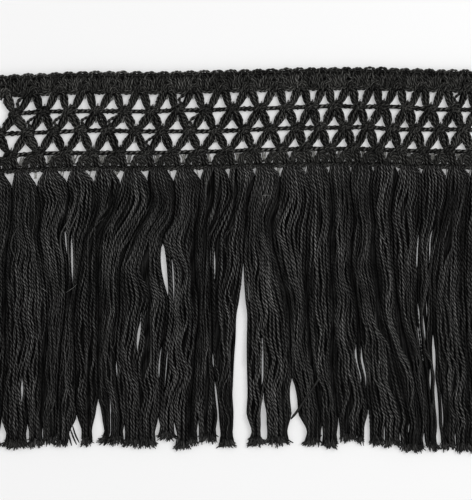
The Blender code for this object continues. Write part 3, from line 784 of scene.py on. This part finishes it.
def bars(skein):
    """A thick beaded cord along each row, low between the knots and through each one."""
    for row, columns in list(enumerate(net_rows()))[1:]:
        points = []
        for column, after in zip(columns, columns[1:] + [None]):
            points.append(at_knot(row, column, -0.2, 1.7))
            if after is not None:
                for share in (0.3, 0.5, 0.7):
                    points.append(between(at_knot(row, column), at_knot(row, after), share, 1.3))
        path = through(points)
        beads = np.sin(2 * np.pi * np.arange(len(path)) * SPACING / BEAD)
        # Painted light and shade: each bead is painted lighter where it swells and darker between, over a
        # core painted dark as shade.
        thick, light = along(1 + 0.24 * beads), 0.95 * (1 + 0.85 * beads)
        skein.yarn(path, BAR_RADIUS, tone=0.5, shape=thick, light=light, low=0.02, turn=BAR_TURN)
        skein.add(CORE, path - (0, 0, 0.35), BAR_CORE, light=CORE_LIGHT)


# The stitches that close a knot over its bundles: rows of (aside, rise, height) for each.
KNOT_STITCHES = (
    ((-3.0, -0.4, 1.2), (-2.3, 0.9, 2.0), (-0.6, 1.75, 2.3), (1.4, 1.5, 2.2), (3.0, 0.2, 1.2)),
    ((-2.9, -0.9, 1.2), (-1.5, 0.1, 2.5), (0.3, 0.5, 2.8), (1.8, 0.4, 2.5), (3.1, -0.5, 1.2)),
    ((-2.3, -1.6, 1.2), (-1.0, -1.0, 2.2), (0.6, -0.8, 2.4), (2.3, -1.5, 1.2)),
    ((-1.5, -2.1, 1.4), (-0.8, -0.8, 2.7), (0.2, 0.5, 3.0), (1.2, 1.8, 1.8)),
)


def clasps(skein):
    """The stitches over each knot, and a thick core inside it, painted dark as the shade in the knot."""
    draw = skein.random
    for row, columns in enumerate(net_rows()):
        for column in columns:
            for stitch in KNOT_STITCHES if row else KNOT_STITCHES[3:]:
                shift, turned = draw.normal(0, 0.15, 2), draw.normal(0, 0.12)
                points = [
                    at_knot(row, column, rise + shift[0] + turned * aside, height, 0.92 * aside + shift[1])
                    for aside, rise, height in stitch
                ]
                skein.yarn(through(points), 0.72, (0.7, 0.7), light=draw.uniform(0.4, 1.0))
            if row:
                points = [at_knot(row, column, 0.1, 1.4, aside) for aside in (-2.6, -1, 1, 2.6)]
                skein.add(CORE, through(points), 1.36, (0.5, 0.5), light=0.08)


def wisps(skein):
    """Pale fuzz, which also stands in for the floor's grey shade seen through the gaps: in the corners of
    the gaps over each knot and under it, in the small gaps beside the last knots, and between the tassels'
    heads."""
    draw = skein.random
    for row, columns in enumerate(net_rows()):
        for column in columns:
            spots = [(-2.6, -4.6) if row else (-1.2, -3.4)] * 5 * (row < LAST_KNOTS)
            for start, end in spots + [(3.0, 1.6)] * 3 * (row > 0):
                (a, b), aside = draw.normal(0, 0.3, 2), draw.normal(0, 0.35)
                top, low = (start + a * 0.4, 0.9, aside * 0.5), (end + b * 0.4, 0.7, aside + b)
                points = by_knot(row, column, top, ((start + end) / 2, 0.8, aside), low)
                skein.add(TUFT, through(points), 0.18, (0.8, 0.4), light=draw.uniform(1, 3.2))
            if row == LAST_KNOTS:
                for _ in range(draw.integers(3, 10)):
                    top, end = 4.1 + draw.uniform(-1.2, 1.2), 4.4 + draw.normal(0, 0.35)
                    points = by_knot(row, column, (-0.8, 0.5, top), (-4.4, 0.5, end))
                    points.insert(1, between(*points, 0.5, 0.6, draw.normal(0, 0.2)))
                    skein.add(TUFT, through(points), 0.3, (0.8, 0.8), light=draw.uniform(2, 4.5))
                for _ in range(draw.integers(0, 6)):
                    top, end = draw.uniform(-1.3, 1.3), draw.uniform(-0.5, 0.5)
                    points = by_knot(row, column, (-7.2, 0.5, top), (-10.0, 0.4, end))
                    points.insert(1, between(*points, 0.5, 0.45, draw.normal(0, 0.15)))
                    skein.add(TUFT, through(points), 0.22, (0.8, 0.8), light=draw.uniform(3.5, 6))


def shells(skein):
    """Below the last knots: nested stitches arched to the left of each one, slanting ones down from it,
    and the row that holds the tassels."""
    draw = skein.random
    row = LAST_KNOTS
    for column in net_rows()[row]:
        for size, high in ((1.0, 1.8), (0.7, 2.3), (0.42, 2.7), (0.14, 2.9)):
            half = 2.1 * size
            up = (-6.1, 1.0, -3.3 - half), (-4.3, high, -3.3 - half)
            left = -3.5 + 2.2 * size, high + 0.2, -3.1 - 0.5 * half
            right = -3.5 + 2.4 * size, high + 0.2, -2.9 + 0.3 * half
            down = (-4.1 + 0.8 * size, high, -2.7 + half), (-6.1, 1.0, -2.5 + half)
            path = through(by_knot(row, column, *up, left, right, *down))
            skein.yarn(path, 0.7, (0.7, 0.7), light=0.8)
        for number, aside in enumerate((-0.8, -0.15, 0.5, 1.15, 1.8)):
            spots = (0.4, 1.6, 0.5 * aside), (-1.6, 1.9, aside + 0.5), (-3.9, 1.9, aside + 1.3)
            path = through(by_knot(row, column, *spots, (-6.0, 1.0, aside + 2.0)))
            # Every other strand is a lowered core, painted dark as the shade between the yarns.
            if number % 2:
                skein.add(CORE, path - (0, 0, 0.6), 0.66, (0.7, 0.5), light=0.08)
            else:
                skein.yarn(path, 0.74, (0.7, 0.5), light=0.9)
        points = by_knot(row, column, (-3.7, 1.6, 2.4), (-4.5, 2.0, 4.2), (-4.2, 1.6, 6.2))
        skein.yarn(through(points), 0.5, (0.6, 0.6), light=0.8)
    quarters = range(LAST * 4 + 1)
    for side in (1, -1):
        points = []
        for step in quarters:
            swing = side * (-1) ** step
            drop = LAST_ROW_DROP + 0.2 + 0.5 * swing
            points.append(on_net(step / 4, drop, 1.5 + 0.4 * swing, draw.uniform(-0.1, 0.1)))
        skein.yarn(through(points), 0.62, tone=0.5)
    # A core behind the row, painted darker as the shade under it.
    behind = [on_net(step / 4, LAST_ROW_DROP - 0.8, 0.5) for step in quarters]
    skein.add(CORE, through(behind), 0.45, light=0.3)


POST_SPACE = 0.092  # in columns, from one post of the braid to the next
# The top of an arch: rows of (rise, then how far its size lifts it and moves it aside).
ARCH_TOP = ((0.5, 1.6, -1.3), (0.6, 1.9, 0.2), (0.5, 1.5, 1.5))
# The braid's cores: rows of (drop, lightness). The lightness is painted shade, darkest under the chain
# along the scalloped edge.
BRAID_CORES = ((1.6, 0.2), (2.6, 0.1), (4.0, 0.4), (5.4, 0.5), (6.8, 0.5), (8.1, 0.5))


def braid(skein):
    """The dense edge braid: cores along it, leaning posts over them, and a chain along each edge."""
    draw = skein.random
    start, end = -0.3, LAST + 0.3

    def stitch(points, radius=0.66, light=1.0):
        skein.yarn(through(points), radius, (0.7, 0.7), light=light * draw.uniform(0.6, 1.4))

    for drop, light in BRAID_CORES:
        points = [on_net(column, drop, 0.9) for column in np.linspace(start, end, 90)]
        skein.add(CORE, through(points, 0.6), 0.82, light=light)
    posts = round((end - start) / POST_SPACE)
    for step in range(posts + 1):
        # The posts lean and bow one way and then the other, in groups half a column wide.
        column = start + (end - start) * step / posts + draw.uniform(-0.02, 0.02)
        way = (-1) ** int(np.floor(column * 2 + 0.25))
        lean, bow = 0.05 * way + draw.normal(0, 0.03), 0.04 * way
        high = 2.15 + draw.uniform(-0.3, 0.3)
        top = (-lean, 2.3, 0.9), (-0.8 * lean, 2.7, high - 0.4)
        middle = (0.6 * bow - 0.3 * lean, 3.7, high + 0.25), (bow + 0.4 * lean, 5.0, high + 0.25)
        stitch(beside(column, *top, *middle, (lean, 6.9, high - 0.2), (1.3 * lean, 8.1, 0.9)))
    for step in range(2 * LAST + 2):
        # The chain along the scalloped edge, with a pair of short stitches under each of its loops.
        column = step / 2 - 0.25 + draw.uniform(-0.02, 0.02)
        top = 0.35 + draw.uniform(-0.15, 0.15)
        loop = (-0.3, 1.7, 1.2), (-0.2, top + 0.6, 1.8), (0, top, 2.0), (0.2, top + 0.5, 1.8)
        # The loops are painted lighter, a painted highlight along the edge.
        stitch(beside(column, *loop, (0.3, 1.7, 1.2)), light=1.3)
        for side in (-1, 1):
            short = (side * 0.21, 4.0, 1.7), (side * 0.16, 2.7, 2.6), (side * 0.1, 1.1, 1.9)
            stitch(beside(column, *short), 0.6)
    for column in range(TASSELS):
        # The arch that gathers each column's bundles.
        for size, high in ((1.0, 2.7), (0.62, 2.4)):
            left = (-1.2, 1.3, -2.3 * size), (0.6, 2.3, -2.4 * size)
            over = [(up + rise * size, high, aside * size) for up, rise, aside in ARCH_TOP]
            right = (0.5, 2.3, 2.3 * size), (-1.2, 1.3, 2.2 * size)
            stitch(by_knot(0, column, *left, *over, *right))
    for step in range(LAST):
        # Its lower edge hangs a little between the columns.
        for size, drop in ((1.0, 8.9), (0.6, 7.9)):
            left = (-0.29 * size, 7.0, 1.2), (-0.2 * size, drop - 0.5, 1.9)
            right = (0.2 * size, drop - 0.5, 1.9), (0.29 * size, 7.0, 1.2)
            stitch(beside(step + 0.5, *left, (0, drop, 2.1), *right))


def heading(look):
    """The heading's three pieces: its braid, the bundles of its net, and the net's knots and last row."""
    parts = {
        "edge_braid": (braid,),
        "knotted_net": (slanting_strands, wisps),
        "net_knots": (bars, clasps, shells),
    }
    for seed, (name, makers) in enumerate(parts.items(), 11):
        skein = Skein(seed)
        for make in makers:
            make(skein)
        made = skein.piece(name, look)
        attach(made, "root")
        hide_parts("heading")


# -------- finishes

FIBRE_STRETCH = (2.6, 0.7, 1.0)  # around a strand and along it, for each mm
CLOUD_SCALE = 90.0  # of the slow changes of shade over the whole trim
PAINTED_PLIES = 0.2  # sets two bands of the diagonal wave, painted lighter crests and darker grooves, to each turn of a painted yarn
PAINTED_GIRTH = 4.8


def shaded_look(name, *settings):
    """A new material, its nodes and its shader, whose plain settings are rows of (name, value)."""
    look = bpy.data.materials.new(name)
    look.use_nodes = True
    shader = look.node_tree.nodes["Principled BSDF"]
    for setting, value in settings:
        shader.inputs[setting].default_value = value
    return look, look.node_tree, shader


def cotton(name, colour):
    """Twisted cotton: fine fibres along the plies, a soft bloom, and the painted light and shade of the
    strands and of their painted plies.
    """
    bloom = ("Sheen Weight", 0.01), ("Sheen Roughness", 0.5), ("Specular IOR Level", 0.06)
    look, tree, shader = shaded_look(name, ("Roughness", 0.9), *bloom)

    def shading(kind, output, *inputs, **settings):
        return node(tree, "ShaderNode" + kind, output, inputs, **settings)

    def ramp(source, low, high, start=0.0, end=1.0):
        """A value from start to end brought to low to high."""
        sizes = ("From Min", start), ("From Max", end), ("To Min", low), ("To Max", high)
        return shading("MapRange", "Result", ("Value", source), *sizes)

    kept = ("tone", "lit", "wound")
    tone, lit, wound = (shading("Attribute", "Fac", attribute_name=attribute) for attribute in kept)
    strand = shading("UVMap", "UV", uv_map="strand")
    stretched = shading("Mapping", "Vector", ("Vector", strand), ("Scale", FIBRE_STRETCH))
    fibres = shading("TexNoise", "Fac", ("Vector", stretched), ("Scale", 1.0), ("Detail", 3.0))
    place_of = shading("TexCoord", "Object")
    cloud = shading("TexNoise", "Fac", ("Vector", place_of), ("Scale", CLOUD_SCALE), ("Detail", 2.0))
    # Painted light and shade of the plies: the wave paints a core's ply crests lighter and the grooves
    # between them darker.
    turns = (PAINTED_PLIES / PAINTED_GIRTH, PAINTED_PLIES / TURN, 0.0)
    across = shading("Mapping", "Vector", ("Vector", strand), ("Scale", turns))
    waves = ("Vector", across), ("Scale", 1.0), ("Distortion", 1.5)
    plies = ramp(shading("TexWave", "Fac", *waves, bands_direction="DIAGONAL"), 0.2, 1.9)
    painted = shading("Mix", "Result", ("Factor", wound), ("A", 1.0), ("B", plies))
    strength = ramp(tone, 0.65, 1.38)
    for other in (lit, painted, ramp(fibres, 0.35, 1.8, 0.3, 0.7), ramp(cloud, 0.75, 1.3, 0.3, 0.7)):
        strength = shading("Math", 0, (0, strength), (1, other), operation="MULTIPLY")
    shade = shading("VectorMath", "Vector", (0, colour), ("Scale", strength), operation="SCALE")
    raised = shading("Bump", "Normal", ("Strength", 0.6), ("Distance", 0.15 * MM), ("Height", fibres))
    tree.links.new(shade, shader.inputs["Base Color"])
    tree.links.new(raised, shader.inputs["Normal"])
    return look


def floor_look():
    """The pale floor glows a little, as a light table does."""
    glow = ("Emission Color", (1.0, 1.0, 1.0, 1.0)), ("Emission Strength", 0.19)
    matt = ("Base Color", (0.78, 0.78, 0.78, 1.0)), ("Roughness", 0.9), ("Specular IOR Level", 0.2)
    return shaded_look("pale_floor", *matt, *glow)[0]


def floor():
    """A wide flat floor under the trim."""
    mesh = bmesh.new()
    bmesh.ops.create_grid(mesh, x_segments=1, y_segments=1, size=1.5)
    data = bpy.data.meshes.new("floor")
    mesh.to_mesh(data)
    mesh.free()
    data.materials.append(floor_look())
    made = placed("floor", data)


# -------- light and camera

VIEW_MIDDLE = (-5.56, -67.72, 1.5)  # the point that the camera looks straight down on
VIEW_HEIGHT = 200.0  # of the surface that it sees
LENS, SENSOR = 135.0, 36.0
SKY_LIGHT, LAMP_LIGHT = 0.74, 4.6
LAMP_PLACE = (0.75, 0.25, 0.85)  # in metres, to the right of the trim and above it
LAMP_AIM = 0.07  # down the trim, towards its middle


def studio():
    """An even white sky, one broad lamp, and the camera straight above the trim."""
    scene = bpy.context.scene
    scene.view_settings.view_transform = "Standard"
    world = scene.world or bpy.data.worlds.new("studio")
    scene.world = world
    world.use_nodes = True
    sky = world.node_tree.nodes["Background"]
    sky.inputs["Color"].default_value = (1.0, 1.0, 1.0, 1.0)
    sky.inputs["Strength"].default_value = SKY_LIGHT
    lamp = bpy.data.lights.new("key", "AREA")
    lamp.shape = "DISK"
    lamp.size = 0.5
    lamp.energy = LAMP_LIGHT
    key = placed("key", lamp)
    key.location = LAMP_PLACE
    aim = -key.location.copy()
    aim.y -= LAMP_AIM
    key.rotation_euler = aim.to_track_quat("-Z", "Y").to_euler()
    lens = bpy.data.cameras.new("camera")
    lens.lens, lens.sensor_width = LENS, SENSOR
    camera = placed("camera", lens)
    x, y, z = VIEW_MIDDLE
    away = VIEW_HEIGHT * LENS / SENSOR
    camera.location = (x * MM, y * MM, (z + away) * MM)
    scene.camera = camera


net_cotton = cotton("net_cotton", (0.1024, 0.1016, 0.0955))
tassel_cotton = cotton("tassel_cotton", (0.1104, 0.1095, 0.1066))
heading(net_cotton)
for number in range(TASSELS):
    tassel(number, tassel_cotton)
floor()
studio()
